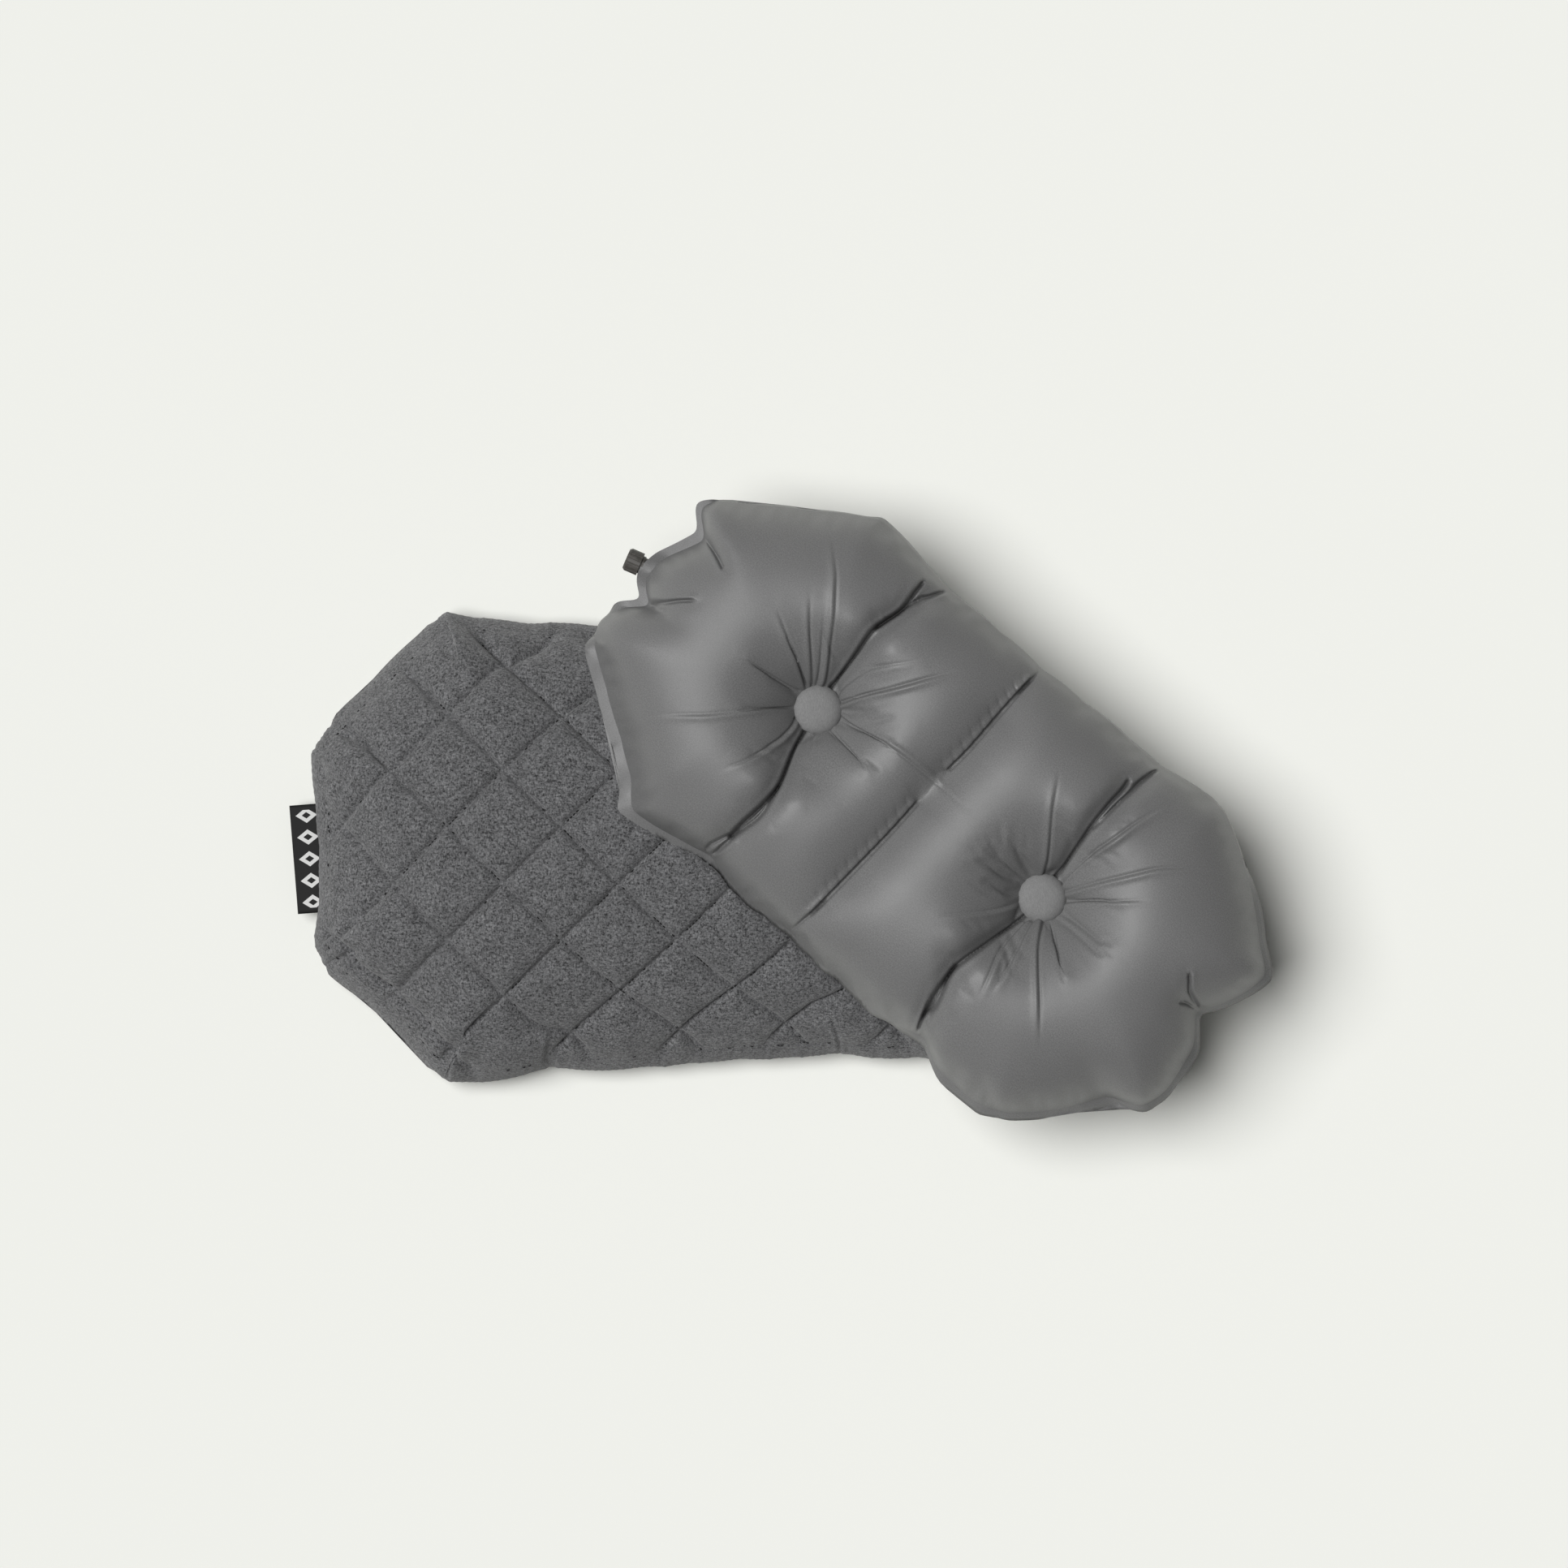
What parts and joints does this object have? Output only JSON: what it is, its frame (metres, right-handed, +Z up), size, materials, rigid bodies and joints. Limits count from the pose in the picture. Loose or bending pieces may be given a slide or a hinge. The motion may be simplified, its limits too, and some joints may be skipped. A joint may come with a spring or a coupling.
{
  "type": "camp pillow",
  "caption": "Inflatable camp pillow: a tufted air bladder with a twist valve, lying slantwise on its plump quilted slip-on cover.",
  "frame": {"origin": "centre of the whole object's footprint, on the ground", "axes": "+X along the cover's length, away from its label; +Y across the cover; +Z up. The bladder's length is turned 40 degrees clockwise from +X."},
  "size_m": [0.73, 0.466, 0.1646],
  "materials": {
    "bladder_fabric": "satin coated polyester, fine weave, mid grey",
    "inner_fabric": "coated polyester, matt",
    "button_cloth": "matt brushed fabric over a moulded button",
    "moulded_core": "moulded nylon",
    "valve_plastic": "moulded polyurethane, dark warm grey",
    "seal_rubber": "black silicone",
    "quilt_face": "brushed heather knit, dark grey, diamond quilted",
    "wadding": "polyester wadding",
    "cover_lining": "plain weave lining",
    "cover_back": "plain brushed knit, dark grey",
    "label": "black woven tape with a white geometric pattern"
  },
  "bodies": {
    "cover": {"cover_top_face": "quilt_face", "cover_top_wadding": "wadding", "cover_top_lining": "cover_lining", "cover_back_panel": "cover_back", "mouth_hem_upper": "quilt_face", "mouth_hem_lower": "cover_back", "side_label": "label"},
    "bladder": {"bladder_top_panel": "bladder_fabric", "bladder_bottom_panel": "bladder_fabric", "centre_web_far": "inner_fabric", "centre_web_near": "inner_fabric", "valve_neck": "valve_plastic", "valve_seal_ring": "seal_rubber", "button_cloth_upper_left": "button_cloth", "button_core_upper_left": "moulded_core", "button_washer_upper_left": "moulded_core", "button_cloth_lower_left": "button_cloth", "button_core_lower_left": "moulded_core", "button_washer_lower_left": "moulded_core", "tuft_strap_left": "inner_fabric", "button_cloth_upper_right": "button_cloth", "button_core_upper_right": "moulded_core", "button_washer_upper_right": "moulded_core", "button_cloth_lower_right": "button_cloth", "button_core_lower_right": "moulded_core", "button_washer_lower_right": "moulded_core", "tuft_strap_right": "inner_fabric"},
    "valve_sleeve": {"valve_mouth_sleeve": "valve_plastic"},
    "valve_grip": {"valve_twist_grip": "valve_plastic"}
  },
  "joints": [
    {"name": "bladder_lift", "type": "slide", "parent": "cover", "child": "bladder", "axis": [0, 0, 1], "range_m": [0, 0.2]},
    {"name": "valve_pull", "type": "slide", "parent": "bladder", "child": "valve_sleeve", "axis": [-0.9178, 0.3971, 0], "range_m": [0, 0.004]},
    {"name": "valve_twist", "type": "hinge", "parent": "valve_sleeve", "child": "valve_grip", "pos_m": [-0.10272, 0.17407, 0.104], "axis": [-0.9178, 0.3971, 0], "range_deg": [0, 90.5]}
  ],
  "couplings": [
    {"joint": "valve_twist", "follows": "valve_pull", "rad_per_m": 392.7}
  ]
}
